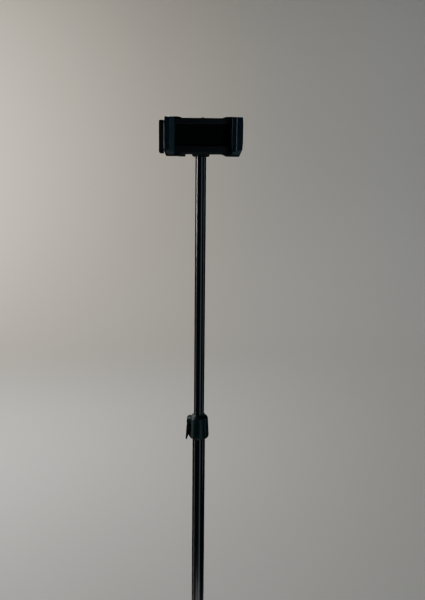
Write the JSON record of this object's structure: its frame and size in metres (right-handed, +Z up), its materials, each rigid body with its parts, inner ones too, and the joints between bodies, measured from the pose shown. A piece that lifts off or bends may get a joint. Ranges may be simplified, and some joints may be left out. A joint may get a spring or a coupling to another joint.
{
  "type": "selfie stick",
  "caption": "Telescopic selfie stick with a sprung phone clamp on a tilting, turning neck, a flip-lock tube and a handle that folds out into a tripod.",
  "frame": {"origin": "on the surface the stick stands on, straight below the tube's axis", "axes": "+Z up along the tube, -Y the way the phone's screen faces, -X the way the sliding jaw opens"},
  "size_m": [0.2568, 0.2246, 0.7479],
  "materials": {
    "matte_black_plastic": "matte, fine moulded grain",
    "satin_black_plastic": "satin",
    "collar_plastic": "matte, fine grain",
    "black_tube": "gloss black lacquer",
    "rubber": "matte",
    "soft_pad": "matte, ribbed",
    "steel": "satin",
    "aluminium": "machined",
    "nylon": "natural dark nylon",
    "board_green": "solder mask",
    "battery_wrap": "foil wrap",
    "status_lens": "clear"
  },
  "bodies": {
    "handle": {"handle_front_shell": "matte_black_plastic", "handle_rear_shell": "matte_black_plastic", "handle_grip": "rubber", "shell_screws": "steel", "circuit_board": "board_green", "battery_cell": "battery_wrap", "charge_socket": "steel", "status_lens": "status_lens", "tripod_hub": "matte_black_plastic", "leg_pins": "steel", "lower_tube": "black_tube", "tube_pin": "steel", "lock_collar": "collar_plastic", "lock_shoe": "nylon", "lever_pin": "steel", "collar_screw": "steel"},
    "shutter_button": {"shutter_button": "satin_black_plastic"},
    "power_switch": {"power_switch": "satin_black_plastic"},
    "lock_lever": {"lock_lever": "satin_black_plastic"},
    "leg_1": {"leg_shell_1": "matte_black_plastic", "leg_grip_1": "rubber", "leg_foot_1": "rubber"},
    "leg_2": {"leg_shell_2": "matte_black_plastic", "leg_grip_2": "rubber", "leg_foot_2": "rubber"},
    "leg_3": {"leg_shell_3": "matte_black_plastic", "leg_grip_3": "rubber", "leg_foot_3": "rubber"},
    "upper_tube": {"upper_tube": "black_tube", "tube_bushing": "nylon", "top_plug": "aluminium", "pan_screw": "steel"},
    "neck": {"neck_fork": "matte_black_plastic", "tilt_nut": "steel"},
    "tilt_knob": {"tilt_knob": "matte_black_plastic", "tilt_bolt": "steel", "tilt_washer": "steel"},
    "tilt_bracket": {"tilt_bracket": "matte_black_plastic", "swivel_screw": "steel", "swivel_washer": "steel"},
    "clamp": {"clamp_front_frame": "satin_black_plastic", "clamp_rear_cover": "matte_black_plastic", "back_pad": "soft_pad", "clamp_screws": "steel", "fixed_jaw": "satin_black_plastic", "fixed_jaw_pad": "soft_pad", "rod_springs": "steel"},
    "sliding_jaw": {"sliding_jaw": "satin_black_plastic", "sliding_jaw_pad": "soft_pad", "guide_rods": "steel", "rod_washers": "steel", "pull_plate": "satin_black_plastic"}
  },
  "joints": [
    {"name": "upper_tube_slide", "type": "slide", "parent": "handle", "child": "upper_tube", "axis": [0, 0, 1], "range_m": [-0.25, 0]},
    {"name": "lock_lever_flip", "type": "hinge", "parent": "handle", "child": "lock_lever", "pos_m": [-0.0099, 0, 0.4366], "axis": [0, 1, 0], "range_deg": [0, 110]},
    {"name": "shutter_press", "type": "slide", "parent": "handle", "child": "shutter_button", "axis": [0, 1, 0], "range_m": [0, 0.0008], "stiffness_N_per_m": 1200, "springref_m": -0.0005},
    {"name": "power_switch_slide", "type": "slide", "parent": "handle", "child": "power_switch", "axis": [0, 0, 1], "range_m": [0, 0.0035]},
    {"name": "head_pan", "type": "hinge", "parent": "upper_tube", "child": "neck", "pos_m": [0, 0, 0.7118], "axis": [0, 0, 1], "continuous": true},
    {"name": "tilt_knob_turn", "type": "hinge", "parent": "neck", "child": "tilt_knob", "pos_m": [-0.012, 0, 0.7219], "axis": [1, 0, 0], "range_deg": [0, 270]},
    {"name": "head_tilt", "type": "hinge", "parent": "neck", "child": "tilt_bracket", "pos_m": [0, 0, 0.7219], "axis": [1, 0, 0], "range_deg": [-120, 10]},
    {"name": "clamp_spin", "type": "hinge", "parent": "tilt_bracket", "child": "clamp", "pos_m": [0, -0.0105, 0.73], "axis": [0, 1, 0], "continuous": true},
    {"name": "jaw_slide", "type": "slide", "parent": "clamp", "child": "sliding_jaw", "axis": [-1, 0, 0], "range_m": [0, 0.033], "stiffness_N_per_m": 250, "springref_m": -0.02, "deforming": ["rod_springs"]},
    {"name": "leg_1_fold", "type": "hinge", "parent": "handle", "child": "leg_1", "pos_m": [0, -0.0115, 0.07], "axis": [1, 0, 0], "range_deg": [0, 62]},
    {"name": "leg_2_fold", "type": "hinge", "parent": "handle", "child": "leg_2", "pos_m": [0.00996, 0.00575, 0.07], "axis": [-0.5, 0.866, 0], "range_deg": [0, 62]},
    {"name": "leg_3_fold", "type": "hinge", "parent": "handle", "child": "leg_3", "pos_m": [-0.00996, 0.00575, 0.07], "axis": [-0.5, -0.866, 0], "range_deg": [0, 62]}
  ]
}
